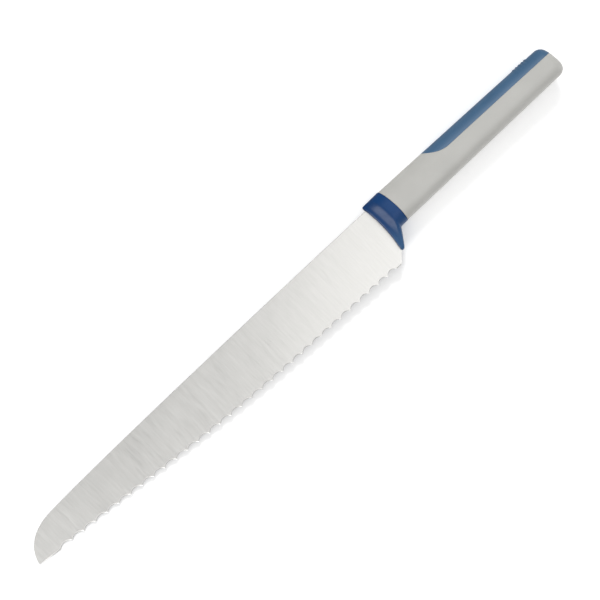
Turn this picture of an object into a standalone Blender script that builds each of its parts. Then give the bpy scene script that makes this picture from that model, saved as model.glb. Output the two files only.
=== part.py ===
"""Bread knife: a scalloped steel blade in a moulded handle with a finger guard.

The knife lies on its side.  It is modelled in its own axes, in millimetres: x runs
from the tip of the blade to the butt of the handle, y points to the spine, and z
runs through the thickness, with the middle plane of the blade at z = 0.  Meshes are
stored in metres.  Every object hangs on one empty, which puts the middle of the
knife's outline over the world origin and its lower flat side on z = 0.
"""
import math

import bmesh
import bpy

MM = 0.001
GAP = 0.3                     # clearance between touching pieces

# Whole knife
LENGTH = 383.3                # over all
BUTT_X = 383.1                # end of the handle at mid height, measured from the tip
KNIFE_TOP = 13.9              # highest point of the spine
KNIFE_BOTTOM = -22.8          # lowest tooth of the edge

# Blade: a stamped sheet, ground thinner towards the edge and the tip
BLADE_LENGTH = 254.0          # tip to the front of the bolster
BLADE_REAR = 256.8            # shoulder of the blade inside the bolster
SHEET = 1.9                   # thickness of the sheet, at the spine and in the tang
EDGE_THICKNESS = 0.7          # thickness where the scallops are ground
TIP_Y = -2.6
TIP_CURVE = ((0.0, TIP_Y), (1.8, 6.5), (9.5, 13.0), (24.0, 13.4))
SPINE_CURVE = ((24.0, 13.4), (60.0, 14.8), (170.0, 13.0), (BLADE_LENGTH, 11.0))
SPINE_REAR_Y = 10.9
EDGE_SLOPE = 0.112            # fall of the edge along its front half
HEEL_SLOPE = 0.035            # fall of the edge along its rear part
BEND_START = 95.0
BEND_END = 185.0
HEEL = (248.3, -22.0)
HEEL_TOP = (254.6, -16.5)     # end of the slanted heel, inside the bolster
SHOULDER_Y = -13.2            # rear end of the shoulder that sits in the bolster

# Scallops along the edge
FIRST_TOOTH = 13.7
FIRST_PITCH = 7.95
PITCH_DROP = 0.0226           # the pitch shortens a little towards the heel
SCALLOPS = 32
SCALLOP_DEPTH = 1.65
BEVEL = 0.7                   # width of the ground bevel, on the upper side only
BEVEL_RUN_IN = 10.0

# Tang
TANG_FLAT = 260.0             # from here on the tang has the full sheet thickness
TANG_END = 350.0
TANG_TOP = (7.0, 4.0)         # at the shoulder and at the end
TANG_BOTTOM = -4.5
TANG_END_RADIUS = 3.0
TANG_HOLES = ((262.5, 1.2, 1.6), (284.0, 0.9, 2.5), (308.0, 0.5, 2.5), (332.0, 0.1, 2.5))

# Bolster with finger guard
FRONT_X = 255.1               # front edge of the bolster where it is furthest back
FRONT_CURVE = 0.0065          # the front edge and the rear seam are parabolas about CURVE_Y
SEAM_CURVE = 0.0088
CURVE_Y = -1.0
BOLSTER_TOP = 13.55
BOLSTER_HALF = 7.9            # half thickness at the rear
LIP_HALF = 4.0                # half thickness of the front lip
GUARD_BOTTOM = -17.8
COLLAR_BOTTOM = -8.2
GUARD_SPAN = (0.19, 0.4)      # start and length of the guard's rear slope, shares of the bolster
FLARE_SPAN = (0.17, 0.36)     # start and length of the thickening behind the lip
FLARE_SOFTNESS = 0.2
GUARD_CROWN = 3.0             # height of the rounding under the guard
GUARD_THINNING = 0.2          # share of the thickness lost at the guard's tip
GUARD_THINNING_RUN = 14.0
LEG_THINNING = 0.25           # share lost behind the guard, where the finger lies
LEG_TOP = 0.3
LEG_RUN = 9.0
BOLSTER_FRONT_ROUND = 1.4
BOLSTER_REAR_ROUND = 0.5
POCKET_TOP = 11.3             # slot in which the blade's shoulder sits
POCKET_FLOOR = ((254.83, -16.7), (250.0, -20.9))
SLOT_FRONT = 240.0            # the slots' cutters reach past both ends of the bolster
SLOT_REAR = 280.0

# Handle
SEAM_X = 267.7                # bolster against handle, where the seam is furthest back
SEAM_RUN = 18.0               # length over which the sections straighten behind the seam
HANDLE_HALF = 8.0
HANDLE_TOP = 13.3
HANDLE_BOTTOM = -8.1
TOP_SLOPE = -0.0376
BOTTOM_SLOPE = -0.0135
TOP_CROWN = 7.5               # height of the curved part under the spine
BOTTOM_CROWN = 8.5            # height of the curved part above the underside
TOP_POWER = 2.4               # powers of the superellipses that round the section
BOTTOM_POWER = 2.2
BUTT_RADIUS_TOP = 4.3         # rounding of the butt towards the spine,
BUTT_RADIUS_SIDE = 5.0        # towards the sides
BUTT_RADIUS_LOW = 5.6         # and towards the underside
BUTT_LEAN = 0.13              # the butt's end face leans back towards the spine
BUTT_LEAN_START = 358.0
BUTT_PIVOT_Y = -3.8           # height at which the leaning end face stays in place

# Grip inlay along the spine of the handle
GRIP_NOSE = 296.3
GRIP_LEVEL_X = 310.0
GRIP_LEVEL_Y = 5.15
GRIP_SLOPE = -0.03
GRIP_DEPTH = 2.0
NOSE_POWER = 2.1              # curvature of the sweep at the nose
NOSE_SPAN = 14.0              # length with closer sections behind the nose
RECESS_OVERCUT = 1.0
RIBS = 5
RIB_START = 361.6
RIB_PITCH = 2.2
RIB_WIDTH = 1.5
RIB_FLANK = 0.4
RIB_HEIGHT = 0.36

# Carrier moulded round the tang
CORE_START = 268.4
CORE_END = 353.0
CORE_HALF = 3.6
CORE_WALL = 1.6


# ---------------------------------------------------------------- curves

def bezier(points, count):
    """Points on a cubic Bezier curve, both ends included."""
    p0, p1, p2, p3 = points
    result = []
    for i in range(count + 1):
        t = i / count
        weights = ((1 - t) ** 3, 3 * t * (1 - t) ** 2, 3 * t * t * (1 - t), t ** 3)
        x = sum(w * p[0] for w, p in zip(weights, (p0, p1, p2, p3)))
        y = sum(w * p[1] for w, p in zip(weights, (p0, p1, p2, p3)))
        result.append((x, y))
    return result


def smoothstep(t):
    t = min(max(t, 0.0), 1.0)
    return t * t * (3 - 2 * t)


def soft_ramp(t, softness=0.08):
    """Rises from 0 to 1 between t = 0 and t = 1, with rounded corners."""
    return 0.5 * (math.hypot(t, softness) - math.hypot(t - 1, softness) + 1)


def rounded_polygon(corners, steps=5):
    """Outline through (x, y, radius) corners, each turned into an arc."""
    outline = []
    for i, (x, y, radius) in enumerate(corners):
        if radius == 0:
            outline.append((x, y))
            continue
        px, py, _ = corners[i - 1]
        nx, ny, _ = corners[(i + 1) % len(corners)]
        a = math.atan2(py - y, px - x)
        b = math.atan2(ny - y, nx - x)
        half = ((b - a + math.pi) % (2 * math.pi) - math.pi) / 2
        middle = a + half
        reach = radius / abs(math.sin(half))
        cx, cy = x + reach * math.cos(middle), y + reach * math.sin(middle)
        turn = math.pi / 2 - abs(half)
        side = -1 if half > 0 else 1
        for k in range(steps + 1):
            angle = middle + math.pi - side * turn * (1 - 2 * k / steps)
            outline.append((cx + radius * math.cos(angle), cy + radius * math.sin(angle)))
    return outline


# ---------------------------------------------------------------- objects

def material(name, colour, roughness, metallic=0.0):
    """Principled material; the colour is given in linear RGB."""
    mat = bpy.data.materials.new(name)
    mat.use_nodes = True
    shader = mat.node_tree.nodes["Principled BSDF"]
    shader.inputs["Base Color"].default_value = (*colour, 1.0)
    shader.inputs["Roughness"].default_value = roughness
    shader.inputs["Metallic"].default_value = metallic
    mat.diffuse_color = (*colour, 1.0)
    return mat


def mesh_object(name, bm, mat=None, smooth_angle=35.0):
    """Turns a bmesh in millimetres into a shaded object under the knife's empty."""
    bmesh.ops.remove_doubles(bm, verts=bm.verts, dist=0.002)
    bmesh.ops.recalc_face_normals(bm, faces=bm.faces)
    bmesh.ops.scale(bm, verts=bm.verts, vec=(MM, MM, MM))
    mesh = bpy.data.meshes.new(name)
    bm.to_mesh(mesh)
    bm.free()
    mesh.shade_smooth()
    mesh.set_sharp_from_angle(angle=math.radians(smooth_angle))
    obj = bpy.data.objects.new(name, mesh)
    obj.parent = knife_axis
    if mat:
        mesh.materials.append(mat)
    bpy.context.scene.collection.objects.link(obj)
    return obj


def cutter(name, bm):
    """A helper solid for Boolean modifiers, left out of the part."""
    obj = mesh_object(name, bm)
    obj.hide_render = True
    obj.display_type = "WIRE"
    return obj


def subtract(obj, tool):
    modifier = obj.modifiers.new(tool.name, "BOOLEAN")
    modifier.operation = "DIFFERENCE"
    modifier.solver = "EXACT"
    modifier.object = tool


def skin(bm, rings):
    """Side faces through rings with equal numbers of (x, y, z) points."""
    rows = [[bm.verts.new(point) for point in ring] for ring in rings]
    count = len(rows[0])
    for row, following in zip(rows, rows[1:]):
        for i in range(count):
            j = (i + 1) % count
            bm.faces.new((row[i], row[j], following[j], following[i]))
    return rows


def loft(rings):
    """Closed body through rings that mirror about z = 0, from the spine round and back."""
    bm = bmesh.new()
    rows = skin(bm, rings)
    for row in (rows[0], rows[-1]):
        for i in range(len(row) // 2):
            corners = dict.fromkeys((row[i], row[i + 1], row[-i - 1], row[-i]))
            bm.faces.new(list(corners))
    return bm


def slab(outline, half):
    """Extrusion of a flat outline between z = -half and z = half."""
    bm = bmesh.new()
    for row in skin(bm, [[(x, y, z) for x, y in outline] for z in (-half, half)]):
        bm.faces.new(row)
    return bm


def pins(places, radius_change, half):
    """Round pins through the tang's holes, all in one mesh."""
    bm = bmesh.new()
    for x, y, radius in places:
        made = bmesh.ops.create_cone(
            bm, cap_ends=True, segments=20, radius1=radius + radius_change,
            radius2=radius + radius_change, depth=2 * half)
        bmesh.ops.translate(bm, verts=made["verts"], vec=(x, y, 0))
    return bm


# ---------------------------------------------------------------- blade

def edge_line(x):
    """Height of the line through the tooth points: straight, a gentle bend, straight."""
    y = TIP_Y - EDGE_SLOPE * min(x, BEND_START)
    if x > BEND_START:
        bent = min(x, BEND_END) - BEND_START
        y -= EDGE_SLOPE * bent
        y += (EDGE_SLOPE - HEEL_SLOPE) * bent ** 2 / (2 * (BEND_END - BEND_START))
    if x > BEND_END:
        y -= HEEL_SLOPE * (x - BEND_END)
    return y


def tooth_x(k):
    return FIRST_TOOTH + k * FIRST_PITCH - k * k * PITCH_DROP


def edge_points(steps_per_scallop=6):
    """(x, y on the upper face, y on the lower face) from the tip to the last tooth."""
    points = []
    for i in range(1, 5):
        x = FIRST_TOOTH * i / 5
        points.append((x, edge_line(x), edge_line(x) - BEVEL * min(1, x / BEVEL_RUN_IN)))
    for k in range(SCALLOPS):
        start, end = tooth_x(k), tooth_x(k + 1)
        half_chord = (end - start) / 2
        radius = (half_chord ** 2 + SCALLOP_DEPTH ** 2) / (2 * SCALLOP_DEPTH)
        for i in range(steps_per_scallop):
            across = -half_chord + i * (end - start) / steps_per_scallop
            arch = math.sqrt(radius ** 2 - across ** 2) - (radius - SCALLOP_DEPTH)
            x = start + half_chord + across
            y = edge_line(x) + arch
            points.append((x, y, y - BEVEL))
    x = tooth_x(SCALLOPS)
    points.append((x, edge_line(x), edge_line(x) - BEVEL))
    return points


def ground_half(x, y):
    """Half thickness of the ground blade: a plane falling to the edge and to the tip."""
    across = (SHEET - EDGE_THICKNESS) / 2 / (SPINE_REAR_Y - HEEL[1])
    along = across * (TIP_Y - HEEL[1]) / HEEL[0]
    return EDGE_THICKNESS / 2 + across * (y - TIP_Y) + along * x


def tang_top(x):
    """Height of the tang's upper edge, which falls towards the butt."""
    share = (x - BLADE_REAR) / (TANG_END - BLADE_REAR)
    return TANG_TOP[0] + (TANG_TOP[1] - TANG_TOP[0]) * share


def tang_outline(grow, start, end):
    """The tang's outline moved outwards, from the start's top corner round to the end."""
    radius = TANG_END_RADIUS + grow
    return rounded_polygon([
        (start, tang_top(start) + grow, 0), (start, TANG_BOTTOM - grow, 0),
        (end, TANG_BOTTOM - grow, radius), (end, tang_top(end) + grow, radius)])


def build_blade(mat):
    """Blade and tang in one piece, with lock holes through the tang."""
    upper = [(BLADE_REAR, TANG_TOP[0]), (BLADE_REAR, SPINE_REAR_Y)]
    upper += reversed(bezier(SPINE_CURVE, 24))
    upper += list(reversed(bezier(TIP_CURVE, 12)))[1:]
    shoulder = [HEEL_TOP, (BLADE_REAR, SHOULDER_Y), (BLADE_REAR, TANG_BOTTOM)]
    tang = [(TANG_FLAT, TANG_BOTTOM)]
    tang += tang_outline(0.0, TANG_FLAT, TANG_END)[2:]
    tang.append((TANG_FLAT, tang_top(TANG_FLAT)))

    outline = [(x, y, y) for x, y in upper]
    outline += edge_points()
    outline.append((HEEL[0], HEEL[1], HEEL[1] - BEVEL))
    outline += [(x, y, y) for x, y in shoulder]
    blade_count = len(outline)
    outline += [(x, y, y) for x, y in tang]

    bm = bmesh.new()
    rows = []
    for sign, column in ((1, 1), (-1, 2)):
        row = []
        for point in outline:
            x, y = point[0], point[column]
            half = ground_half(x, y) if x <= BLADE_REAR else SHEET / 2
            row.append(bm.verts.new((x, y, sign * half)))
        bm.faces.new(row[:blade_count])
        bm.faces.new((row[-1], row[0], row[blade_count - 1], row[blade_count]))
        bm.faces.new(row[blade_count:])
        rows.append(row)
    top, bottom = rows
    for i in range(len(top)):
        j = (i + 1) % len(top)
        bm.faces.new((top[i], top[j], bottom[j], bottom[i]))
    blade = mesh_object("blade", bm, mat, 25.0)
    subtract(blade, cutter("cut_tang_holes", pins(TANG_HOLES, 0.0, 5.0)))
    return blade


# ---------------------------------------------------------------- sections

def half_width(y, low, high, half, low_crown, high_crown):
    """Half thickness of a moulded section at height y: flat sides, curved ends."""
    below = max(0.0, (low + low_crown - y) / low_crown)
    above = max(0.0, (y - high + high_crown) / high_crown)
    lower = max(0.0, 1 - min(1.0, below) ** BOTTOM_POWER) ** (1 / BOTTOM_POWER)
    upper = max(0.0, 1 - min(1.0, above) ** TOP_POWER) ** (1 / TOP_POWER)
    return half * lower * upper


def seam_x(y):
    """Curved seam between bolster and handle."""
    return SEAM_X - SEAM_CURVE * (y - CURVE_Y) ** 2


def front_x(y):
    """Hollow front edge of the bolster."""
    return FRONT_X - FRONT_CURVE * (y - CURVE_Y) ** 2


def butt_inset(x, inset, radius):
    """How far an outline with a rounded end has shrunk at x, itself moved inwards."""
    into = x - (BUTT_X - radius)
    if into <= 0:
        return inset
    return radius - math.sqrt(max(0.0, (radius - inset) ** 2 - into ** 2))


def handle_limits(x, inset):
    """Underside, spine and half thickness of the handle at x, all moved inwards."""
    low = HANDLE_BOTTOM + BOTTOM_SLOPE * (x - SEAM_X) + butt_inset(x, inset, BUTT_RADIUS_LOW)
    high = HANDLE_TOP + TOP_SLOPE * (x - SEAM_X) - butt_inset(x, inset, BUTT_RADIUS_TOP)
    return low, high, HANDLE_HALF - butt_inset(x, inset, BUTT_RADIUS_SIDE)


def warp(x, y):
    """Follows the curved seam in front and the leaning butt at the end."""
    front = (seam_x(y) - SEAM_X) * (1 - smoothstep((x - SEAM_X) / SEAM_RUN))
    lean = BUTT_LEAN * smoothstep((x - BUTT_LEAN_START) / (BUTT_X - BUTT_LEAN_START))
    return x + front - lean * (y - BUTT_PIVOT_Y)


def seam_height(x):
    """Lower edge of the grip inlay: it sweeps down from the spine and runs on level."""
    level = GRIP_LEVEL_Y + GRIP_SLOPE * (x - GRIP_LEVEL_X)
    if x >= GRIP_LEVEL_X:
        return level
    rise = HANDLE_TOP + TOP_SLOPE * (GRIP_NOSE - SEAM_X) - GRIP_LEVEL_Y
    along = (GRIP_LEVEL_X - x) / (GRIP_LEVEL_X - GRIP_NOSE)
    return level + (rise + GRIP_SLOPE * (GRIP_LEVEL_X - GRIP_NOSE)) * along ** NOSE_POWER


def spread(start, end, count):
    """Evenly spaced numbers from start up to, but not including, end."""
    return [start + (end - start) * i / count for i in range(count)]


def corner_stations(end, radius, steps):
    """Stations in a rounded end, evenly spaced round its corner."""
    return [end - radius * (1 - math.sin(math.pi / 2 * i / steps)) for i in range(steps + 1)]


def stations(start, end, count):
    """Stations along x, closer together in the rounded butt."""
    butt = corner_stations(end, BUTT_RADIUS_LOW, 7)
    return spread(start, butt[0], count) + butt


def section_heights(low, high, points):
    """Heights from the top of a section to its foot, closer together at both ends."""
    middle, reach = (low + high) / 2, (high - low) / 2
    return [middle + reach * math.cos(math.pi * i / points) for i in range(points + 1)]


def mirrored(right):
    """The other half of a section, from the foot back to the top."""
    return [(x, y, -z) for x, y, z in reversed(right)]


def handle_body(start, inset, count=24, points=14):
    """Rounded handle solid from the given start to the butt, moved inwards by inset."""
    rings = []
    for x in stations(start, BUTT_X - inset, count):
        low, high, half = handle_limits(x, inset)
        right = []
        for y in section_heights(low, high, points):
            z = half_width(y, low, high, half, BOTTOM_CROWN, TOP_CROWN)
            right.append((warp(x, y), y, z))
        rings.append(right + mirrored(right[1:-1]))
    return loft(rings)


def rib_height(x):
    """Height of the cross ribs on the spine near the butt, with sloping flanks."""
    if not RIB_START <= x <= RIB_START + RIBS * RIB_PITCH:
        return 0.0
    along = (x - RIB_START) % RIB_PITCH
    to_foot = min(along, RIB_WIDTH - along)
    return RIB_HEIGHT * min(1.0, max(0.0, to_foot / RIB_FLANK))


def rib_stations():
    """Four stations for each rib: foot, shoulder, shoulder, foot."""
    places = []
    for k in range(RIBS):
        start = RIB_START + k * RIB_PITCH
        end = start + RIB_WIDTH
        places += [start, start + RIB_FLANK, end - RIB_FLANK, end]
    return places


def inlay_body(grow, drop, ribbed, points=9):
    """Part of the handle above the inlay's lower edge, as a solid with a D section."""
    rings = []
    places = [GRIP_NOSE - drop + NOSE_SPAN * (i / 8) ** 2 for i in range(8)]
    places += stations(GRIP_LEVEL_X + 2, BUTT_X + grow, 16)
    if ribbed:
        places += rib_stations()
    for x in sorted(places):
        low, high, half = handle_limits(x, -grow)
        seam = min(seam_height(x + drop) - drop, high - 0.02)
        right = []
        for i in range(points + 1):
            y = high - (high - seam) * (i / points) ** 2
            z = half_width(y, low, high, half, BOTTOM_CROWN, TOP_CROWN)
            crown = ((y - seam) / (high - seam)) ** 3
            lift = rib_height(x) * crown if ribbed else 0.0
            right.append((warp(x, y), y + lift, z))
        rings.append(right + mirrored(right[1:]))
    return loft(rings)


# ---------------------------------------------------------------- handle pieces

def corner_inset(distance, radius):
    """Inset of a quarter-round corner at a distance from the end face."""
    if distance >= radius:
        return 0.0
    return radius - math.sqrt(max(0.0, radius ** 2 - (radius - distance) ** 2))


def bolster_section(along, points):
    """Section at a distance behind the front: thin and tall in front, thick behind."""
    length = SEAM_X - BLADE_LENGTH
    share = along / length
    inset = corner_inset(along, BOLSTER_FRONT_ROUND)
    inset += corner_inset(length - along, BOLSTER_REAR_ROUND)
    collar = soft_ramp((share - GUARD_SPAN[0]) / GUARD_SPAN[1])
    flare = soft_ramp((share - FLARE_SPAN[0]) / FLARE_SPAN[1], FLARE_SOFTNESS)
    low = GUARD_BOTTOM + (COLLAR_BOTTOM - GUARD_BOTTOM) * collar + inset
    high = BOLSTER_TOP - inset
    half = LIP_HALF + (BOLSTER_HALF - LIP_HALF) * flare - inset
    crown = GUARD_CROWN + (BOTTOM_CROWN - GUARD_CROWN) * collar
    right = []
    for y in section_heights(low, high, points):
        z = half_width(y, low, high, half, crown, TOP_CROWN)
        z *= 1 - GUARD_THINNING * smoothstep(-y / GUARD_THINNING_RUN)
        z *= 1 - LEG_THINNING * flare * smoothstep((LEG_TOP - y) / LEG_RUN) * (1 - collar)
        right.append((front_x(y) + share * (seam_x(y) - front_x(y)), y, z))
    return right + mirrored(right[1:-1])


def build_bolster(mat):
    """Collar with a finger guard, slotted for the blade's shoulder and the tang."""
    length = SEAM_X - BLADE_LENGTH
    places = [BOLSTER_FRONT_ROUND * (1 - math.cos(math.pi / 2 * i / 4)) for i in range(4)]
    places += spread(BOLSTER_FRONT_ROUND, length - BOLSTER_REAR_ROUND, 22)
    places += corner_stations(length, BOLSTER_REAR_ROUND, 3)
    bolster = mesh_object("bolster", loft([bolster_section(a, 18) for a in places]), mat, 40.0)
    rear = BLADE_REAR + GAP
    slot = slab([(SLOT_FRONT, POCKET_TOP), (rear, POCKET_TOP),
                 (rear, TANG_TOP[0] + GAP), (SLOT_REAR, TANG_TOP[0] + GAP),
                 (SLOT_REAR, TANG_BOTTOM - GAP), (rear, TANG_BOTTOM - GAP),
                 (rear, SHOULDER_Y), *POCKET_FLOOR,
                 (SLOT_FRONT, POCKET_FLOOR[-1][1])], SHEET / 2 + GAP)
    slot_cutter = cutter("cut_bolster_slot", slot)
    subtract(slot_cutter, cutter("cut_bolster_stud", pins(TANG_HOLES[:1], -GAP, 6.0)))
    subtract(bolster, slot_cutter)
    return bolster


def build_core(mat):
    """Carrier round the tang, with studs that pass through the tang's holes."""
    core = mesh_object("tang_core", slab(
        tang_outline(CORE_WALL, CORE_START, CORE_END), CORE_HALF), mat)
    slot_outline = tang_outline(GAP, CORE_START - 8, TANG_END + GAP)
    slot = cutter("cut_core_slot", slab(slot_outline, SHEET / 2 + GAP))
    subtract(slot, cutter("cut_core_studs", pins(TANG_HOLES[1:], -GAP, 6.0)))
    subtract(core, slot)
    return core


def build_shell(mat):
    """Handle body: open in front for the carrier, with a recess for the inlay."""
    shell = mesh_object("handle_shell", handle_body(SEAM_X + GAP, 0.0), mat, 40.0)
    recess = cutter("cut_inlay_recess", inlay_body(RECESS_OVERCUT, GAP, False))
    saddle = cutter("cut_saddle", handle_body(SEAM_X - 6, GRIP_DEPTH + GAP))
    subtract(recess, saddle)
    subtract(shell, recess)
    cavity_outline = tang_outline(CORE_WALL + GAP, CORE_START - 12, CORE_END + GAP)
    subtract(shell, cutter("cut_core_cavity", slab(cavity_outline, CORE_HALF + GAP)))
    return shell


def build_inlay(mat):
    """Soft grip saddled over the spine and the butt of the handle."""
    inlay = mesh_object("grip_inlay", inlay_body(0.0, 0.0, True), mat, 40.0)
    subtract(inlay, cutter("cut_inlay_inside", handle_body(SEAM_X - 4, GRIP_DEPTH)))
    return inlay


# ---------------------------------------------------------------- assembly

for old in list(bpy.data.objects):
    bpy.data.objects.remove(old, do_unlink=True)

knife_axis = bpy.data.objects.new("knife_axis", None)
knife_axis.location = (-LENGTH / 2 * MM, -(KNIFE_TOP + KNIFE_BOTTOM) / 2 * MM, HANDLE_HALF * MM)
bpy.context.scene.collection.objects.link(knife_axis)

build_blade(material("brushed_steel", (0.62, 0.61, 0.59), 0.32, 1.0))
build_bolster(material("blue_plastic", (0.020, 0.065, 0.185), 0.3))
build_core(material("core_plastic", (0.10, 0.11, 0.12), 0.5))
build_shell(material("grey_plastic", (0.53, 0.53, 0.50), 0.55))
build_inlay(material("blue_soft_grip", (0.035, 0.105, 0.235), 0.6))
bpy.context.view_layer.update()
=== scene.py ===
"""Looks of the bread knife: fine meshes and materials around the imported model.

The knife lies on its side.  Shapes are worked out in the knife's own axes, in
millimetres: x from the tip of the blade to the butt, y towards the spine, z through
the thickness with the blade's middle plane at z = 0.  place() puts them in the frame.
"""

import math

import bmesh
import bpy
from mathutils import Matrix, Vector


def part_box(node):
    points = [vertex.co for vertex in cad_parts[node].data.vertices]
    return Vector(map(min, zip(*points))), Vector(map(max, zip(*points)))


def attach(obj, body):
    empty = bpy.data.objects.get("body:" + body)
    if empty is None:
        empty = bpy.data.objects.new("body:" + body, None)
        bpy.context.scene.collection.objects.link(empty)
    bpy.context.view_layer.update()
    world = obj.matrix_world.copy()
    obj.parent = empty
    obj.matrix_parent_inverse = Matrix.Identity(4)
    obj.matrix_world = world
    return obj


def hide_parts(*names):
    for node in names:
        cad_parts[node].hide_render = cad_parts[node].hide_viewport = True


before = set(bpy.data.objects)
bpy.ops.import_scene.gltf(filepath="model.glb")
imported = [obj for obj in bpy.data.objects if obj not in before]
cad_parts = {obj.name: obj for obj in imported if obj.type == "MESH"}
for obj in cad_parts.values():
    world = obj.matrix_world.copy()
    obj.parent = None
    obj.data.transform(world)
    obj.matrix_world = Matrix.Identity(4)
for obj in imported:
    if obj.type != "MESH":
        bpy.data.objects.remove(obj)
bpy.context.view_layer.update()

MM = 0.001

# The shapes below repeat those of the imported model.  Lengths are in millimetres.

# Blade: a stamped sheet, ground thinner towards the edge and the tip
BLADE_LENGTH = 254.0          # tip to the front of the bolster, along the spine
BLADE_REAR = 256.8            # shoulder of the blade inside the bolster
SHEET = 1.9                   # thickness in the tang and at the rear end of the spine
EDGE_THICKNESS = 0.7          # thickness at the tip and at the heel's tooth, before the bevel
TIP_Y = -2.6
TIP_CURVE = ((0.0, TIP_Y), (1.8, 6.5), (9.5, 13.0), (24.0, 13.4))
SPINE_CURVE = ((24.0, 13.4), (60.0, 14.8), (170.0, 13.0), (BLADE_LENGTH, 11.0))
SPINE_REAR_Y = 10.9
SPINE_ROUND = 0.08            # rounding of the spine's edges
SPINE_SEGMENTS = 8
FACE_ROWS = 8                 # rows of points down each side of the blade
FACE_GUARD_ROW = 0.01         # extra row close to the spine, which keeps the side flat
EDGE_SLOPE = 0.112            # fall of the edge along its front part
HEEL_SLOPE = 0.035            # fall of the edge along its rear part
BEND_START = 95.0
BEND_END = 185.0
HEEL = (248.3, -22.0)
HEEL_TOP = (254.6, -16.5)     # end of the slanted heel, inside the bolster
SHOULDER_Y = -13.2            # rear end of the shoulder that sits in the bolster
STEP = 0.25                   # run of the steps hidden in the bolster
MERGE = 0.001                 # blade points closer than this are one; lofts use twice this
UV_SCALE = 2.0                # blade's flat map, in units per metre
UV_OFFSET = 0.2

# Scallops along the edge
FIRST_TOOTH = 13.7
FIRST_PITCH = 7.95
PITCH_DROP = 0.0226           # the pitch shortens a little towards the heel
SCALLOPS = 32
SCALLOP_DEPTH = 1.65
SCALLOP_STEPS = 14
NOSE_COLUMNS = 15             # columns between the tip and the first tooth,
NOSE_SPREAD = 1.6             # closer together towards the tip
BEVEL = 0.7                   # width of the ground bevel, on the upper side only
BEVEL_RUN_IN = 10.0
BEVEL_ROWS = 5
BEVEL_HOLLOW = 0.8            # power of the bevel's hollow curve
SIDE_NORMAL_Z = 0.96          # steeper normals belong to the flat sides
GROUND_NORMAL_Y = -0.15       # ground faces look at least this far towards the edge
EDGE_LAND = 0.05              # thickness left at the cutting edge

# Tang
TANG_FLAT = 260.0             # from here on the tang has the full sheet thickness
TANG_END = 350.0
TANG_TOP = (7.0, 4.0)         # at the shoulder and at the end
TANG_BOTTOM = -4.5
TANG_END_RADIUS = 3.0
TANG_HOLES = ((262.5, 1.2, 1.6), (284.0, 0.9, 2.5), (308.0, 0.5, 2.5), (332.0, 0.1, 2.5))
HOLE_CUT = 5.0                # half length of the cutters for the holes

# Bolster with finger guard
FRONT_X = 255.1               # front edge of the bolster where it is furthest back
FRONT_CURVE = 0.0065          # the front edge and the rear seam are parabolas about CURVE_Y
SEAM_CURVE = 0.0088
CURVE_Y = -1.0
BOLSTER_TOP = 13.55
BOLSTER_HALF = 7.9            # half thickness at the rear
LIP_HALF = 4.0                # half thickness of the front lip
GUARD_BOTTOM = -17.8
COLLAR_BOTTOM = -8.2
GUARD_SPAN = (0.19, 0.4)      # start and length of the guard's rear slope, shares of the bolster
FLARE_SPAN = (0.17, 0.36)     # start and length of the thickening behind the lip
FLARE_SOFTNESS = 0.2
GUARD_CROWN = 3.0             # height of the rounding under the guard
GUARD_THINNING = 0.2          # share of the thickness lost at the guard's tip
GUARD_THINNING_RUN = 14.0
LEG_THINNING = 0.25           # further share lost on the guard's leg, behind the lip
LEG_TOP = 0.3
LEG_RUN = 9.0
BOLSTER_FRONT_ROUND = 1.4
BOLSTER_REAR_ROUND = 0.3
POCKET_FRONT = 248.0          # slot in which the blade's shoulder sits
POCKET_TOP = 11.05
POCKET_FLOOR = ((254.64, -16.53), (250.0, -20.58))
STUD_HALF = 2.0               # half length of the stud through the tang's first hole

# Handle
SEAM_X = 267.7                # bolster against handle, where the seam is furthest back
SEAM_RUN = 18.0               # length over which the sections straighten behind the seam
SHELL_FRONT_ROUND = 0.18
BUTT_X = 383.05               # end of the handle, at the height BUTT_PIVOT_Y
HANDLE_HALF = 8.0
HANDLE_TOP = 13.3
HANDLE_BOTTOM = -8.1
TOP_SLOPE = -0.0376
BOTTOM_SLOPE = -0.0135
TOP_CROWN = 7.5               # height of the curved part under the spine
BOTTOM_CROWN = 8.5            # height of the curved part above the underside
TOP_POWER = 2.4               # powers of the superellipses that round the section
BOTTOM_POWER = 2.2
BUTT_RADIUS_TOP = 4.3         # rounding of the butt towards the spine,
BUTT_RADIUS_SIDE = 5.0        # towards the sides
BUTT_RADIUS_LOW = 5.6         # and towards the underside
BUTT_LEAN = 0.13              # the end face recedes by this share of the height above the pivot
BUTT_LEAN_START = 358.0
BUTT_PIVOT_Y = -3.8

# Grip inlay along the spine of the handle
GRIP_NOSE = 296.3
GRIP_LEVEL_X = 310.0
GRIP_LEVEL_Y = 5.15
GRIP_SLOPE = -0.03
GRIP_DEPTH = 2.0
NOSE_POWER = 2.1              # curvature of the sweep at the nose
NOSE_SPAN = 16.0              # length with closer sections behind the nose
NOSE_SECTIONS = 40
INLAY_LEAST = 0.004           # least height of the inlay, at its nose
RIBS = 5
RIB_START = 361.6
RIB_PITCH = 2.2
RIB_WIDTH = 1.5
RIB_HEIGHT = 0.36
RIB_POWER = 0.6               # below 1 makes the ribs' tops flatter
GROOVE_DEPTH = 0.16           # seam between inlay and handle
GROOVE_WIDTH = 0.16
FIT = 0.05                    # visible gap between moulded pieces

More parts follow.
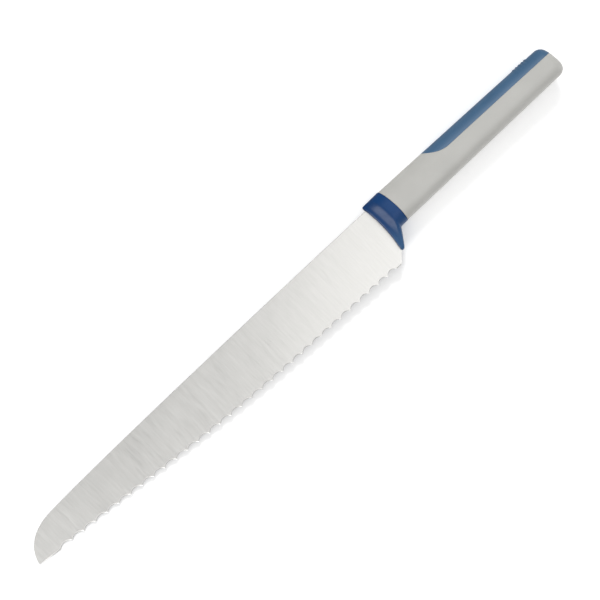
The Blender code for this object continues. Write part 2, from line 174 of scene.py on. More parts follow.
# Hidden carrier round the tang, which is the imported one
CORE_WALL = 1.6
CORE_START = 268.4
CORE_END = 353.0
CORE_HALF = 3.6
INNER_GAP = 0.3               # gap to the carrier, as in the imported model


# Looks: linear colours, each a dark and a light end between which noise moves
STEEL = ((0.386, 0.382, 0.370), (0.450, 0.446, 0.433))
BEVEL_STEEL = ((0.70, 0.695, 0.675), (0.79, 0.785, 0.765))
GLOSS_BLUE = ((0.004, 0.036, 0.130), (0.006, 0.044, 0.150))
# Painted highlight: a paler blue laid on the guard's leg where it catches the light
PAINTED_HIGHLIGHT_BLUE = (0.030, 0.094, 0.205)
HIGHLIGHT_START_Y = -3.0            # painted highlight on the guard: it grows between these heights
HIGHLIGHT_END_Y = -14.0
SATIN_GREY = ((0.416, 0.412, 0.391), (0.441, 0.437, 0.415))
SOFT_BLUE = ((0.030, 0.094, 0.184), (0.038, 0.107, 0.204))
CORE_DARK = ((0.08, 0.085, 0.09), (0.1, 0.105, 0.11))

# Stage, in metres
FLOOR_SIZE = 6.0              # half length of the floor's sides
FLOOR_GAP = 0.0002
FLOOR_WHITE = 0.93
FLOOR_GLOW = 0.22
KEY_STRENGTH = 1.55
KEY_ANGLE = 18                # degrees
KEY_ELEVATION = 40
KEY_AZIMUTH = (0.59, 0.81)    # from the butt's and the spine's side
# name, location, target, size, radiance, turn in degrees
SOFTBOXES = (
    ("softbox_heel", (0.22, -0.165, 0.5), (0.22, -0.165, 0), (0.5, 0.7), 1.75, -50),
    ("softbox_tip", (-0.45, 0.0, 0.45), (0, 0, 0), (0.3, 0.5), 0.6, 0.0),
    ("softbox_front", (-0.67, -0.16, 0.21), (0.06, 0, 0.01), (0.6, 0.38), 10.0, 0.0),
    ("softbox_spine", (-0.45, 0.36, 0.24), (-0.08, 0, 0), (0.34, 0.2), 1.3, 0.0),
)
VIEW_WIDTH = 318.0            # millimetres across the picture
VIEW_CENTRE = (196.6, 1.4)
VIEW_ROLL = -44.27            # degrees
LENS = 120
SENSOR_WIDTH = 36


# ---------------------------------------------------------------- curves

def bezier_table(points, count=200):
    """Dense (x, y) samples of a cubic Bezier curve."""
    table = []
    for i in range(count + 1):
        t = i / count
        weights = ((1 - t) ** 3, 3 * t * (1 - t) ** 2, 3 * t * t * (1 - t), t ** 3)
        table.append(tuple(sum(w * p[axis] for w, p in zip(weights, points)) for axis in (0, 1)))
    return table


def look_up(table, x):
    """Linear interpolation in a table sorted by x."""
    if x <= table[0][0]:
        return table[0][1]
    for (x0, y0), (x1, y1) in zip(table, table[1:]):
        if x <= x1:
            return y0 + (y1 - y0) * (x - x0) / max(x1 - x0, 1e-9)
    return table[-1][1]


def smoothstep(t):
    t = min(max(t, 0.0), 1.0)
    return t * t * (3 - 2 * t)


def soft_ramp(t, softness=0.08):
    """Rises from 0 to 1 between t = 0 and t = 1, with rounded corners."""
    return 0.5 * (math.hypot(t, softness) - math.hypot(t - 1, softness) + 1)


def corner_inset(distance, radius):
    """Inset of a quarter-round corner at a distance from the end face."""
    if distance >= radius:
        return 0.0
    return radius - math.sqrt(max(0.0, radius ** 2 - (radius - distance) ** 2))


spine_table = bezier_table(TIP_CURVE) + bezier_table(SPINE_CURVE)[1:]
spine_table.append((BLADE_REAR, SPINE_REAR_Y))

blade_low, blade_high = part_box("blade")
TIP_X = blade_low.x
CHORD_Y = blade_high.y - max(y for _, y in spine_table) * MM
MID_Z = (blade_low.z + blade_high.z) / 2


def place(x, y, z):
    """Knife millimetres to frame metres."""
    return Vector((TIP_X + x * MM, CHORD_Y + y * MM, MID_Z + z * MM))


# ---------------------------------------------------------------- mesh helpers

def skin(bm, rings):
    """Side faces through rings with equal numbers of (x, y, z) points."""
    rows = [[bm.verts.new(place(*point)) for point in ring] for ring in rings]
    count = len(rows[0])
    for row, following in zip(rows, rows[1:]):
        for i in range(count):
            j = (i + 1) % count
            bm.faces.new((row[i], row[j], following[j], following[i]))
    return rows


def cap(bm, row, partner):
    """Closes a mirrored ring with strips between each point and its partner."""
    count = len(row)
    for i in range(count // 2):
        corners = dict.fromkeys((row[i], row[i + 1], row[partner(i + 1)], row[partner(i)]))
        if len(corners) > 2:
            bm.faces.new(list(corners))


def loft(rings, partner=lambda i: -i):
    """Closed solid through mirrored rings."""
    bm = bmesh.new()
    rows = skin(bm, rings)
    cap(bm, rows[0], partner)
    cap(bm, rows[-1], partner)
    bmesh.ops.remove_doubles(bm, verts=bm.verts, dist=2 * MERGE * MM)
    bmesh.ops.recalc_face_normals(bm, faces=bm.faces)
    return bm


def prism(outline, half):
    """Solid over a flat outline; half(x, y) is its half thickness, linear in x and y."""
    bm = bmesh.new()
    for row in skin(bm, [[(x, y, side * half(x, y)) for x, y in outline] for side in (-1, 1)]):
        bm.faces.new(row)
    bmesh.ops.recalc_face_normals(bm, faces=bm.faces)
    return bm


def pins(places, grow, half):
    """Round pins through the tang's holes, all in one mesh."""
    bm = bmesh.new()
    for x, y, radius in places:
        bmesh.ops.create_cone(
            bm, cap_ends=True, segments=32, radius1=(radius + grow) * MM,
            radius2=(radius + grow) * MM, depth=2 * half * MM,
            matrix=Matrix.Translation(place(x, y, 0)))
    return bm


def new_object(name, bm):
    mesh = bpy.data.meshes.new(name)
    bm.to_mesh(mesh)
    bm.free()
    obj = bpy.data.objects.new(name, mesh)
    bpy.context.scene.collection.objects.link(obj)
    return obj


def carve(obj, *steps):
    """Applies Boolean steps, each (operation, bmesh), and drops the tools."""
    for operation, bm in steps:
        tool = new_object("tool", bm)
        modifier = obj.modifiers.new("step", "BOOLEAN")
        modifier.operation = operation
        modifier.solver = "EXACT"
        modifier.object = tool
        bpy.context.view_layer.update()
        evaluated = obj.evaluated_get(bpy.context.evaluated_depsgraph_get())
        old = obj.data
        obj.data = bpy.data.meshes.new_from_object(evaluated)
        obj.modifiers.clear()
        bpy.data.meshes.remove(old)
        bpy.data.objects.remove(tool)


def finish_piece(obj, name, node, materials, smooth_angle=35.0):
    """Shades a piece and ties it to the frame in place of a CAD node."""
    mesh = obj.data
    obj.name = name
    mesh.name = name
    mesh.materials.clear()
    for mat in materials:
        mesh.materials.append(mat)
    mesh.shade_smooth()
    mesh.set_sharp_from_angle(angle=math.radians(smooth_angle))
    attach(obj, "root")
    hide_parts(node)


def flat_uv(mesh):
    """UV map with U along the knife, which sets the direction of the brushing."""
    layer = mesh.uv_layers.new(name="brush")
    for loop in mesh.loops:
        co = mesh.vertices[loop.vertex_index].co
        layer.data[loop.index].uv = ((co.x - TIP_X) * UV_SCALE,
                                     (co.y - CHORD_Y) * UV_SCALE + UV_OFFSET)


# ---------------------------------------------------------------- blade

def edge_line(x):
    """Height of the line through the tooth points: straight, a gentle bend, straight."""
    y = TIP_Y - EDGE_SLOPE * min(x, BEND_START)
    if x > BEND_START:
        bent = min(x, BEND_END) - BEND_START
        y -= EDGE_SLOPE * bent
        y += (EDGE_SLOPE - HEEL_SLOPE) * bent ** 2 / (2 * (BEND_END - BEND_START))
    if x > BEND_END:
        y -= HEEL_SLOPE * (x - BEND_END)
    return y


def tooth_x(k):
    return FIRST_TOOTH + k * FIRST_PITCH - k * k * PITCH_DROP


def ground_half(x, y):
    """Half thickness of the ground blade: a plane falling to the edge and to the tip."""
    across = (SHEET - EDGE_THICKNESS) / 2 / (SPINE_REAR_Y - HEEL[1])
    along = across * (TIP_Y - HEEL[1]) / HEEL[0]
    return EDGE_THICKNESS / 2 + across * (y - TIP_Y) + along * x


def thickness_half(x, y):
    """Ground blade in front, sheet thickness in the tang, and the run between them."""
    share = smoothstep((x - BLADE_REAR) / (TANG_FLAT - BLADE_REAR))
    return ground_half(min(x, BLADE_REAR), y) * (1 - share) + SHEET / 2 * share


def edge_columns():
    """(x, lower limit of the upper face, width of the bevel) from tip to heel."""
    columns = []
    for i in range(1, NOSE_COLUMNS):
        x = FIRST_TOOTH * (i / NOSE_COLUMNS) ** NOSE_SPREAD
        columns.append((x, edge_line(x), BEVEL * min(1, x / BEVEL_RUN_IN)))
    for k in range(SCALLOPS):
        start, end = tooth_x(k), tooth_x(k + 1)
        chord = (end - start) / 2
        radius = (chord ** 2 + SCALLOP_DEPTH ** 2) / (2 * SCALLOP_DEPTH)
        for i in range(SCALLOP_STEPS):
            across = chord * (2 * i / SCALLOP_STEPS - 1)
            arch = math.sqrt(radius ** 2 - across ** 2) - (radius - SCALLOP_DEPTH)
            x = start + chord + across
            columns.append((x, edge_line(x) + arch, BEVEL))
    x = tooth_x(SCALLOPS)
    columns.append((x, edge_line(x), BEVEL))
    columns.append((HEEL[0], HEEL[1], BEVEL))
    return columns


def rear_columns():
    """Columns behind the heel: slanted heel, shoulder in the bolster, and tang."""
    columns = []
    steps = 6
    for i in range(1, steps + 1):
        t = i / steps
        x = HEEL[0] + (HEEL_TOP[0] - HEEL[0]) * t
        columns.append((x, HEEL[1] + (HEEL_TOP[1] - HEEL[1]) * t, BEVEL * (1 - t)))
    columns.append((BLADE_REAR - STEP, SHOULDER_Y, 0.0))
    columns.append((BLADE_REAR, TANG_BOTTOM, 0.0))
    for i in range(1, steps + 1):
        columns.append((BLADE_REAR + (TANG_FLAT - BLADE_REAR) * i / steps, TANG_BOTTOM, 0.0))
    straight_end = TANG_END - TANG_END_RADIUS
    columns.append((straight_end, TANG_BOTTOM, 0.0))
    corner_steps = 8
    for i in range(1, corner_steps + 1):
        angle = math.pi / 2 * i / (corner_steps + 0.5)
        inset = TANG_END_RADIUS * (1 - math.cos(angle))
        columns.append((straight_end + TANG_END_RADIUS * math.sin(angle),
                        TANG_BOTTOM + inset, 0.0))
    return columns


def tang_top(x):
    share = (x - BLADE_REAR) / (TANG_END - BLADE_REAR)
    return TANG_TOP[0] + (TANG_TOP[1] - TANG_TOP[0]) * share


def upper_limit(x):
    """Spine of the blade, and upper edge of the tang behind the shoulder."""
    if x < BLADE_REAR - 1e-6:
        return look_up(spine_table, x)
    into = x - (TANG_END - TANG_END_RADIUS)
    inset = 0.0
    if into > 0:
        inset = TANG_END_RADIUS - math.sqrt(max(0.0, TANG_END_RADIUS ** 2 - into ** 2))
    return tang_top(x) - inset


def blade_ring(x, low, bevel):
    """Closed section of the blade: upper face, hollow bevel, lower face, round spine."""
    high = upper_limit(x)
    corner = min(SPINE_ROUND, (high - low) / 3)
    shares = [0.0, FACE_GUARD_ROW] + [i / FACE_ROWS for i in range(1, FACE_ROWS + 1)]
    ring = []
    for share in shares:
        y = high - corner + (low - high + corner) * share
        ring.append((x, y, thickness_half(x, y)))
    top = thickness_half(x, low)
    bottom = -thickness_half(x, low - bevel)
    for i in range(1, BEVEL_ROWS + 1):
        t = i / BEVEL_ROWS
        drop = t ** BEVEL_HOLLOW if bevel > 0 else t
        ring.append((x, low - bevel * t, top + (bottom + EDGE_LAND - top) * drop))
    for share in reversed(shares):
        y = high - corner + (low - bevel - high + corner) * share
        ring.append((x, y, -thickness_half(x, y)))
    spine = thickness_half(x, high - corner)
    for i in range(1, SPINE_SEGMENTS):
        angle = math.pi * (i / SPINE_SEGMENTS - 0.5)
        z = (spine - corner) * (1 if angle > 0 else -1 if angle < 0 else 0)
        ring.append((x, high - corner + corner * math.cos(angle), z + corner * math.sin(angle)))
    return ring


def build_blade(materials):
    """Blade and tang, with the second material on the ground bevel and the heel."""
    columns = edge_columns() + rear_columns()
    bm = bmesh.new()
    rows = skin(bm, [blade_ring(*column) for column in columns])
    bm.faces.new(rows[0])
    bm.faces.new(rows[-1])
    bmesh.ops.remove_doubles(bm, verts=bm.verts, dist=MERGE * MM)
    bmesh.ops.recalc_face_normals(bm, faces=bm.faces)
    blade = new_object("blade_body", bm)
    carve(blade, ("DIFFERENCE", pins(TANG_HOLES, 0.0, HOLE_CUT)))
    flat_uv(blade.data)
    finish_piece(blade, "blade_body", "blade", materials, 28.0)
    heel_x = place(HEEL_TOP[0], 0, 0).x
    for face in blade.data.polygons:
        ground = abs(face.normal.z) < SIDE_NORMAL_Z and face.normal.y < GROUND_NORMAL_Y
        if ground and face.center.x < heel_x:
            face.material_index = 1


# ---------------------------------------------------------------- moulded sections

def section_heights(low, high, points):
    """Heights from the top of a section down, closer together at both ends."""
    middle, reach = (low + high) / 2, (high - low) / 2
    return [middle + reach * math.cos(math.pi * i / points) for i in range(points + 1)]


def half_width(y, low, high, half, low_crown, high_crown):
    """Half thickness of a moulded section at height y: flat sides, curved ends."""
    below = max(0.0, (low + low_crown - y) / low_crown)
    above = max(0.0, (y - high + high_crown) / high_crown)
    lower = max(0.0, 1 - min(1.0, below) ** BOTTOM_POWER) ** (1 / BOTTOM_POWER)
    upper = max(0.0, 1 - min(1.0, above) ** TOP_POWER) ** (1 / TOP_POWER)
    return half * lower * upper


def seam_x(y):
    """Curved seam between bolster and handle."""
    return SEAM_X - SEAM_CURVE * (y - CURVE_Y) ** 2


def front_x(y):
    """Hollow front edge of the bolster."""
    return FRONT_X - FRONT_CURVE * (y - CURVE_Y) ** 2


def butt_inset(x, inset, radius):
    """How far an outline with a rounded end has shrunk at x, itself moved inwards."""
    into = x - (BUTT_X - radius)
    if into <= 0:
        return inset
    return radius - math.sqrt(max(0.0, (radius - inset) ** 2 - into ** 2))


def handle_limits(x, inset):
    """Underside, spine and half thickness of the handle at x, all moved inwards."""
    low = HANDLE_BOTTOM + BOTTOM_SLOPE * (x - SEAM_X) + butt_inset(x, inset, BUTT_RADIUS_LOW)
    high = HANDLE_TOP + TOP_SLOPE * (x - SEAM_X) - butt_inset(x, inset, BUTT_RADIUS_TOP)
    return low, high, HANDLE_HALF - butt_inset(x, inset, BUTT_RADIUS_SIDE)


def warp(x, y):
    """Follows the curved seam in front and the leaning butt at the end."""
    front = (seam_x(y) - SEAM_X) * (1 - smoothstep((x - SEAM_X) / SEAM_RUN))
    lean = BUTT_LEAN * smoothstep((x - BUTT_LEAN_START) / (BUTT_X - BUTT_LEAN_START))
    return x + front - lean * (y - BUTT_PIVOT_Y)


def seam_height(x):
    """Lower edge of the grip inlay: it sweeps down from the spine and runs on level."""
    level = GRIP_LEVEL_Y + GRIP_SLOPE * (x - GRIP_LEVEL_X)
    if x >= GRIP_LEVEL_X:
        return level
    rise = HANDLE_TOP + TOP_SLOPE * (GRIP_NOSE - SEAM_X) - GRIP_LEVEL_Y
    along = (GRIP_LEVEL_X - x) / (GRIP_LEVEL_X - GRIP_NOSE)
    return level + (rise + GRIP_SLOPE * (GRIP_LEVEL_X - GRIP_NOSE)) * along ** NOSE_POWER


def butt_stations(end, count=16):
    """Stations in the rounded butt, evenly spaced round its corner."""
    radius = BUTT_RADIUS_LOW
    return [end - radius * (1 - math.sin(math.pi / 2 * i / count)) for i in range(count + 1)]


def spread(start, end, count):
    return [start + (end - start) * i / count for i in range(count)]


def groove(distance):
    """Depth of the fine groove at a distance from the seam."""
    return GROOVE_DEPTH * math.exp(-(distance / GROOVE_WIDTH) ** 2)


def rib_lift(x):
    """Height of the rounded cross ribs on the spine near the butt."""
    along = x - RIB_START
    k = math.floor(along / RIB_PITCH)
    across = (along - k * RIB_PITCH) / RIB_WIDTH
    if not 0 <= k < RIBS or across >= 1:
        return 0.0
    return RIB_HEIGHT * math.sin(math.pi * across) ** RIB_POWER


def mirrored(right, skip_first, skip_last):
    """Adds the left half to the right half; skipped ends are shared by both halves."""
    left = [(x, y, -z) for x, y, z in reversed(right)]
    if skip_last:
        left = left[1:]
    if skip_first:
        left = left[:-1]
    return right + left


def handle_ring(x, inset, points=22):
    """Full section of the handle moved inwards."""
    low, high, half = handle_limits(x, inset)
    right = []
    for y in section_heights(low, high, points):
        z = half_width(y, low, high, half, BOTTOM_CROWN, TOP_CROWN)
        right.append((warp(x, y), y, z))
    return mirrored(right, True, True)


def saddle(start, inset):
    """Part of the handle under the inlay."""
    butt = butt_stations(BUTT_X - inset)
    return loft([handle_ring(x, inset) for x in spread(start, butt[0], 30) + butt])


def shell_ring(x, points=44):
    """Handle section below the inlay; a full section in front of the inlay."""
    low, high, half = handle_limits(x, corner_inset(x - SEAM_X - FIT, SHELL_FRONT_ROUND))
    under_inlay = x > GRIP_NOSE
    seam = min(seam_height(x), high) if under_inlay else high
    right = []
    for y in section_heights(low, seam, points):
        z = half_width(y, low, high, half, BOTTOM_CROWN, TOP_CROWN)
        if under_inlay:
            z = max(0.0, z - groove(seam - y))
        right.append((warp(x, y), y, z))
    return mirrored(right, False, True)


def inlay_ring(x, points=32):
    """Section of the inlay: the handle's outline above the seam."""
    low, high, half = handle_limits(x, 0.0)
    seam = min(seam_height(x) + FIT / 2, high - INLAY_LEAST)
    right = []
    for i, y in enumerate(section_heights(seam, high, points)):
        z = half_width(y, low, high, half, BOTTOM_CROWN, TOP_CROWN)
        z = max(0.0, z - groove(y - seam)) if i else 0.0
        lift = rib_lift(x) * ((y - seam) / (high - seam)) ** 3
        right.append((warp(x, y), y + lift, z))
    return mirrored(right, True, False)


def nose_stations():
    """Stations behind the inlay's nose, closest together at the nose."""
    return [GRIP_NOSE + NOSE_SPAN * (i / NOSE_SECTIONS) ** 2 for i in range(NOSE_SECTIONS)]


def corner_stations(radius, steps):
    """Distances from an end face at which a rounded corner has its sections."""
    return [radius * (1 - math.cos(math.pi / 2 * i / steps)) for i in range(steps)]


def rounded_polygon(corners, steps=8):
    """Outline through (x, y, radius) corners, each turned into an arc."""
    outline = []
    for i, (x, y, radius) in enumerate(corners):
        if radius == 0:
            outline.append((x, y))
            continue
        px, py, _ = corners[i - 1]
        nx, ny, _ = corners[(i + 1) % len(corners)]
        a = math.atan2(py - y, px - x)
        b = math.atan2(ny - y, nx - x)
        half = ((b - a + math.pi) % (2 * math.pi) - math.pi) / 2
        middle = a + half
        reach = radius / abs(math.sin(half))
        cx, cy = x + reach * math.cos(middle), y + reach * math.sin(middle)
        turn = math.pi / 2 - abs(half)
        side = -1 if half > 0 else 1
        for k in range(steps + 1):
            angle = middle + math.pi - side * turn * (1 - 2 * k / steps)
            outline.append((cx + radius * math.cos(angle), cy + radius * math.sin(angle)))
    return outline


def build_shell(materials):
    """Handle shell with the recess for the inlay and the cavity for the carrier."""
    start = SEAM_X + FIT
    places = [start + distance for distance in corner_stations(SHELL_FRONT_ROUND, 5)]
    places += spread(start + SHELL_FRONT_ROUND, GRIP_NOSE, 36)
    butt = butt_stations(BUTT_X)
    places += nose_stations() + spread(GRIP_NOSE + NOSE_SPAN, butt[0], 70) + butt
    bm = loft([shell_ring(x) for x in places], lambda i: -i - 1)
    shell = new_object("handle_body", bm)
    wall = CORE_WALL + INNER_GAP
    start, end, radius = CORE_START - 12, CORE_END + INNER_GAP, TANG_END_RADIUS + wall
    cavity = rounded_polygon([
        (start, tang_top(start) + wall, 0), (start, TANG_BOTTOM - wall, 0),
        (end, TANG_BOTTOM - wall, radius), (end, tang_top(end) + wall, radius)])
    carve(shell,
          ("UNION", saddle(GRIP_NOSE - 6, GRIP_DEPTH + FIT)),
          ("DIFFERENCE", prism(cavity, lambda x, y: CORE_HALF + INNER_GAP)))
    finish_piece(shell, "handle_body", "handle_shell", materials)


def build_inlay(materials):
    """Soft grip: what the handle's outline encloses above the seam, hollowed out."""
    places = nose_stations()[1:]
    rib_end = RIB_START + RIBS * RIB_PITCH
    places += spread(GRIP_NOSE + NOSE_SPAN, RIB_START, 50) + spread(RIB_START, rib_end, 90)
    butt = butt_stations(BUTT_X)
    places += spread(rib_end, butt[0], 8) + butt
    inlay = new_object("grip_body", loft([inlay_ring(x) for x in places]))
    carve(inlay, ("DIFFERENCE", saddle(GRIP_NOSE - 4, GRIP_DEPTH)))
    finish_piece(inlay, "grip_body", "grip_inlay", materials)


# ---------------------------------------------------------------- bolster

def bolster_ring(along, points=48):
    """Section at a distance behind the front: thin and tall in front, thick behind."""
    length = SEAM_X - BLADE_LENGTH
    share = along / length
    inset = corner_inset(along, BOLSTER_FRONT_ROUND)
    inset += corner_inset(length - along, BOLSTER_REAR_ROUND)
    collar = soft_ramp((share - GUARD_SPAN[0]) / GUARD_SPAN[1])
    flare = soft_ramp((share - FLARE_SPAN[0]) / FLARE_SPAN[1], FLARE_SOFTNESS)
    low = GUARD_BOTTOM + (COLLAR_BOTTOM - GUARD_BOTTOM) * collar + inset
    high = BOLSTER_TOP - inset
    half = LIP_HALF + (BOLSTER_HALF - LIP_HALF) * flare - inset
    crown = GUARD_CROWN + (BOTTOM_CROWN - GUARD_CROWN) * collar
    right = []
    for y in section_heights(low, high, points):
        z = half_width(y, low, high, half, crown, TOP_CROWN)
        z *= 1 - GUARD_THINNING * smoothstep(-y / GUARD_THINNING_RUN)
        z *= 1 - LEG_THINNING * flare * smoothstep((LEG_TOP - y) / LEG_RUN) * (1 - collar)
        right.append((front_x(y) + share * (seam_x(y) - front_x(y)), y, z))
    return mirrored(right, True, True)


def build_bolster(materials):
    """Collar and guard, slotted for the blade's shoulder and the tang."""
    length = SEAM_X - BLADE_LENGTH
    front = corner_stations(BOLSTER_FRONT_ROUND, 8)
    middle = spread(BOLSTER_FRONT_ROUND, length - BOLSTER_REAR_ROUND, 64)
    rear = [length - BOLSTER_REAR_ROUND * (1 - math.sin(math.pi / 2 * i / 7)) for i in range(8)]
    bolster = new_object("bolster_body", loft([bolster_ring(a) for a in front + middle + rear]))
    rear_x = BLADE_REAR + FIT
    pocket = [(POCKET_FRONT, POCKET_TOP), (rear_x, POCKET_TOP), (rear_x, SHOULDER_Y),
              *POCKET_FLOOR, (POCKET_FRONT, POCKET_FLOOR[-1][1])]
    tang_slot = [(BLADE_REAR - 1, TANG_TOP[0] + FIT), (BLADE_REAR - 1, TANG_BOTTOM - FIT),
                 (SEAM_X + 6, TANG_BOTTOM - FIT), (SEAM_X + 6, TANG_TOP[0] + FIT)]
    carve(bolster,
          ("DIFFERENCE", prism(pocket, lambda x, y: ground_half(x, y) + FIT)),
          ("DIFFERENCE", prism(tang_slot, lambda x, y: SHEET / 2 + FIT)),
          ("UNION", pins(TANG_HOLES[:1], -FIT, STUD_HALF)))
    finish_piece(bolster, "bolster_body", "bolster", materials, 40.0)


# ---------------------------------------------------------------- materials

class Nodes:
    """Small helper for building a node material."""

    def __init__(self, name):
        self.mat = bpy.data.materials.new(name)
        self.mat.use_nodes = True
        self.tree = self.mat.node_tree
        self.shader = self.tree.nodes["Principled BSDF"]
        self.coords = self.tree.nodes.new("ShaderNodeTexCoord").outputs["Object"]

    def set(self, **values):
        for key, value in values.items():
            self.shader.inputs[key.replace("_", " ")].default_value = value

    def link(self, source, target):
        self.tree.links.new(source, target)

    def scaled(self, scale):
        """Object coordinates, in metres, stretched by a scale per axis."""
        node = self.tree.nodes.new("ShaderNodeMapping")
        node.inputs["Scale"].default_value = scale
        self.link(self.coords, node.inputs["Vector"])
        return node.outputs["Vector"]

    def noise(self, scale, detail=2.0, roughness=0.5, distortion=0.0):
        node = self.tree.nodes.new("ShaderNodeTexNoise")
        node.inputs["Scale"].default_value = 1.0
        node.inputs["Detail"].default_value = detail
        node.inputs["Roughness"].default_value = roughness
        node.inputs["Distortion"].default_value = distortion
        self.link(self.scaled(scale), node.inputs["Vector"])
        return node.outputs["Fac"]

    def remap(self, value, low, high, start=0.3, end=0.7):
        node = self.tree.nodes.new("ShaderNodeMapRange")
        limits = {"From Min": start, "From Max": end, "To Min": low, "To Max": high}
        for key, number in limits.items():
            node.inputs[key].default_value = number
        self.link(value, node.inputs["Value"])
        return node.outputs["Result"]

    def math(self, operation, a, b):
        node = self.tree.nodes.new("ShaderNodeMath")
        node.operation = operation
        for socket, value in zip(node.inputs, (a, b)):
            if isinstance(value, (int, float)):
                socket.default_value = value
            else:
                self.link(value, socket)
        return node.outputs["Value"]

    def mix(self, factor, first, second):
        """Colour between two RGB colours or sockets, by a factor socket."""
        node = self.tree.nodes.new("ShaderNodeMix")
        node.data_type = "RGBA"
        colours = [socket for socket in node.inputs if socket.type == "RGBA"]
        for socket, value in zip(colours, (first, second)):
            if isinstance(value, tuple):
                socket.default_value = (*value, 1.0)
            else:
                self.link(value, socket)
        self.link(factor, node.inputs["Factor"])
        return next(s for s in node.outputs if s.type == "RGBA")

    def bump(self, height, strength, distance, normal=None):
        node = self.tree.nodes.new("ShaderNodeBump")
        node.inputs["Strength"].default_value = strength
        node.inputs["Distance"].default_value = distance
        self.link(height, node.inputs["Height"])
        if normal:
            self.link(normal, node.inputs["Normal"])
        return node.outputs["Normal"]


def brushed_steel():
    """Stainless sheet brushed across the blade: fine lines along Y, softer streaks."""
    m = Nodes("brushed_steel")
    fine = m.noise((9000, 160, 160), 3.0, 0.6)
    streak = m.noise((900, 45, 45), 2.0, 0.6)
    cloud = m.noise((28, 40, 40), 2.0, 0.5)
    lines = m.math("ADD", m.math("MULTIPLY", fine, 0.72), m.math("MULTIPLY", streak, 0.28))
    m.link(m.mix(m.remap(lines, 0.0, 1.0, 0.35, 0.65), *STEEL), m.shader.inputs["Base Color"])
    rough = m.math("ADD", m.remap(lines, 0.27, 0.42), m.remap(cloud, -0.02, 0.03))
    m.link(rough, m.shader.inputs["Roughness"])
    m.link(m.bump(lines, 0.35, 0.00001), m.shader.inputs["Normal"])
    tangent = m.tree.nodes.new("ShaderNodeTangent")
    tangent.direction_type = "UV_MAP"
    tangent.uv_map = "brush"
    m.link(tangent.outputs["Tangent"], m.shader.inputs["Tangent"])
    m.set(Metallic=1.0, Anisotropic=0.5)
    return m.mat


def ground_bevel():
    """Bright ground surface in the scallops, with grinding lines along the blade."""
    m = Nodes("ground_bevel")
    lines = m.noise((260, 2600, 9000), 2.0, 0.6)
    m.link(m.mix(m.remap(lines, 0.0, 1.0), *BEVEL_STEEL), m.shader.inputs["Base Color"])
    m.link(m.remap(lines, 0.2, 0.3), m.shader.inputs["Roughness"])
    m.link(m.bump(lines, 0.25, 0.00001), m.shader.inputs["Normal"])
    m.set(Metallic=1.0)
    return m.mat


def moulded(name, dark, light, roughness, grain, grain_depth, specular=0.5):
    """Moulded plastic: fine surface grain, faint colour drift, uneven gloss."""
    m = Nodes(name)
    drift = m.noise((70, 70, 70), 3.0, 0.55)
    fine = m.noise((grain, grain, grain), 2.0, 0.6)
    soft = m.noise((420, 420, 420), 2.0, 0.5)
    m.link(m.mix(m.remap(drift, 0.0, 1.0), dark, light), m.shader.inputs["Base Color"])
    gloss = m.remap(soft, roughness - 0.03, roughness + 0.03)
    m.link(m.math("ADD", m.remap(fine, -0.04, 0.04), gloss), m.shader.inputs["Roughness"])
    m.link(m.bump(fine, 0.5, grain_depth, m.bump(soft, 0.3, grain_depth)),
           m.shader.inputs["Normal"])
    m.shader.inputs["Specular IOR Level"].default_value = specular
    return m


def paint_highlight(m, colour, start, end):
    """Painted highlight: a paler, patchy colour that grows along -Y from start to end, in metres,
    standing for light caught on the guard's leg.
    """
    split = m.tree.nodes.new("ShaderNodeSeparateXYZ")
    m.link(m.coords, split.inputs["Vector"])
    reach = m.remap(split.outputs["Y"], 0.0, 1.0, start, end)
    patchy = m.remap(m.noise((520, 520, 520), 3.0, 0.6), 0.65, 1.0)
    base = m.shader.inputs["Base Color"]
    m.link(m.mix(m.math("MULTIPLY", reach, patchy), base.links[0].from_socket, colour), base)


# ---------------------------------------------------------------- stage

def build_floor():
    """Pale floor, a hair below the tip of the blade and the lower rear of the bolster."""
    bolster_low, bolster_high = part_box("bolster")
    tip = Vector((blade_low.x, 0, MID_Z - EDGE_THICKNESS / 2 * MM))
    rest = Vector((bolster_high.x, 0, bolster_low.z))
    slope = (rest.z - tip.z) / (rest.x - tip.x)
    bm = bmesh.new()
    corners = []
    for x, y in ((-1, -1), (1, -1), (1, 1), (-1, 1)):
        x, y = x * FLOOR_SIZE, y * FLOOR_SIZE
        corners.append(bm.verts.new((x, y, tip.z + slope * (x - tip.x) - FLOOR_GAP)))
    bm.faces.new(corners)
    floor = new_object("floor", bm)
    mat = bpy.data.materials.new("floor_white")
    mat.use_nodes = True
    shader = mat.node_tree.nodes["Principled BSDF"]
    shader.inputs["Base Color"].default_value = (FLOOR_WHITE, FLOOR_WHITE, FLOOR_WHITE, 1)
    shader.inputs["Emission Color"].default_value = (1, 1, 1, 1)
    shader.inputs["Emission Strength"].default_value = FLOOR_GLOW
    shader.inputs["Roughness"].default_value = 0.9
    shader.inputs["Specular IOR Level"].default_value = 0.0
    floor.data.materials.append(mat)
    floor.visible_glossy = False


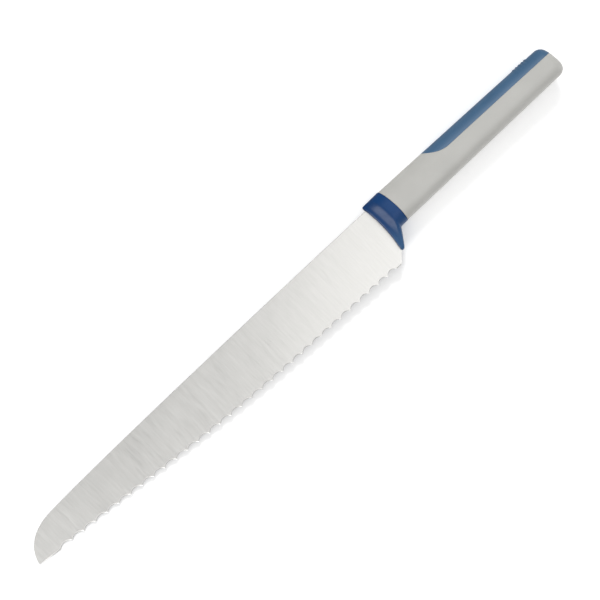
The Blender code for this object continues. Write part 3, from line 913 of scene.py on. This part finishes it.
def build_world():
    """White surroundings, brighter overhead and low on the edge side, darker on the spine side."""
    world = bpy.data.worlds.new("studio")
    bpy.context.scene.world = world
    world.use_nodes = True
    tree = world.node_tree
    coords = tree.nodes.new("ShaderNodeTexCoord")
    split = tree.nodes.new("ShaderNodeSeparateXYZ")
    tree.links.new(coords.outputs["Generated"], split.inputs["Vector"])

    def ramp(axis, start, end, low, high):
        node = tree.nodes.new("ShaderNodeMapRange")
        node.interpolation_type = "SMOOTHSTEP"
        limits = {"From Min": start, "From Max": end, "To Min": low, "To Max": high}
        for key, value in limits.items():
            node.inputs[key].default_value = value
        tree.links.new(split.outputs[axis], node.inputs["Value"])
        return node.outputs["Result"]

    def combine(operation, a, b):
        node = tree.nodes.new("ShaderNodeMath")
        node.operation = operation
        tree.links.new(a, node.inputs[0])
        tree.links.new(b, node.inputs[1])
        return node.outputs["Value"]

    sky = combine("MULTIPLY", ramp("Z", -0.2, 0.9, 0.42, 0.97), ramp("Y", 0.2, 0.9, 1.0, 0.48))
    low_side = combine("MULTIPLY", ramp("Z", -0.3, 0.2, 1.0, 0.0), ramp("Y", -0.6, 0.0, 1.0, 0.0))
    background = tree.nodes["Background"]
    background.inputs["Color"].default_value = (1, 1, 1, 1)
    tree.links.new(combine("ADD", sky, low_side), background.inputs["Strength"])


def aim(obj, target):
    """Turns a light towards a point."""
    direction = Vector(target) - obj.location
    obj.rotation_euler = direction.to_track_quat("-Z", "Y").to_euler()


def softbox(name, location, target, size, radiance, turn):
    """Rectangular light that is only seen in reflections."""
    light = bpy.data.lights.new(name, "AREA")
    light.shape = "RECTANGLE"
    light.size, light.size_y = size
    light.energy = radiance * math.pi * size[0] * size[1]
    obj = bpy.data.objects.new(name, light)
    obj.location = location
    aim(obj, target)
    obj.rotation_euler.rotate_axis("Z", math.radians(turn))
    obj.visible_camera = False
    obj.visible_diffuse = False
    bpy.context.scene.collection.objects.link(obj)


def build_lights():
    """Soft key light from the spine side, and softboxes for the gloss."""
    key = bpy.data.objects.new("key", bpy.data.lights.new("key", "SUN"))
    key.data.energy = KEY_STRENGTH
    key.data.angle = math.radians(KEY_ANGLE)
    elevation = math.radians(KEY_ELEVATION)
    key.location = (KEY_AZIMUTH[0] * math.cos(elevation), KEY_AZIMUTH[1] * math.cos(elevation),
                    math.sin(elevation))
    aim(key, (0, 0, 0))
    key.visible_glossy = False
    bpy.context.scene.collection.objects.link(key)
    for settings in SOFTBOXES:
        softbox(*settings)


def build_camera():
    """Long lens straight above the knife, which runs from lower left to upper right."""
    camera = bpy.data.objects.new("camera", bpy.data.cameras.new("camera"))
    camera.data.lens = LENS
    camera.data.sensor_width = SENSOR_WIDTH
    distance = VIEW_WIDTH * MM * camera.data.lens / camera.data.sensor_width
    camera.location = place(*VIEW_CENTRE, 0) + Vector((0, 0, distance))
    camera.rotation_euler = (0, 0, math.radians(VIEW_ROLL))
    camera.data.clip_start = 0.01
    bpy.context.scene.collection.objects.link(camera)
    bpy.context.scene.camera = camera


build_camera()
build_world()
build_lights()
build_floor()
bpy.context.scene.view_settings.view_transform = "Standard"

build_blade([brushed_steel(), ground_bevel()])
gloss_blue = moulded("gloss_blue", *GLOSS_BLUE, 0.38, 2600, 0.000012, 0.16)
# painted highlight on the guard's leg
paint_highlight(gloss_blue, PAINTED_HIGHLIGHT_BLUE, place(0, HIGHLIGHT_START_Y, 0).y, place(0, HIGHLIGHT_END_Y, 0).y)
build_bolster([gloss_blue.mat])
grey = moulded("satin_grey", *SATIN_GREY, 0.5, 3600, 0.00002)
build_shell([grey.mat])
soft_blue = moulded("soft_blue", *SOFT_BLUE, 0.45, 3000, 0.00003, 0.75)
soft_blue.set(Sheen_Weight=0.04, Sheen_Roughness=0.5)
build_inlay([soft_blue.mat])
core = moulded("core_dark", *CORE_DARK, 0.5, 3000, 0.00002)
core_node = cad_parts["tang_core"]
core_node.data.materials.clear()
core_node.data.materials.append(core.mat)

bpy.context.view_layer.update()
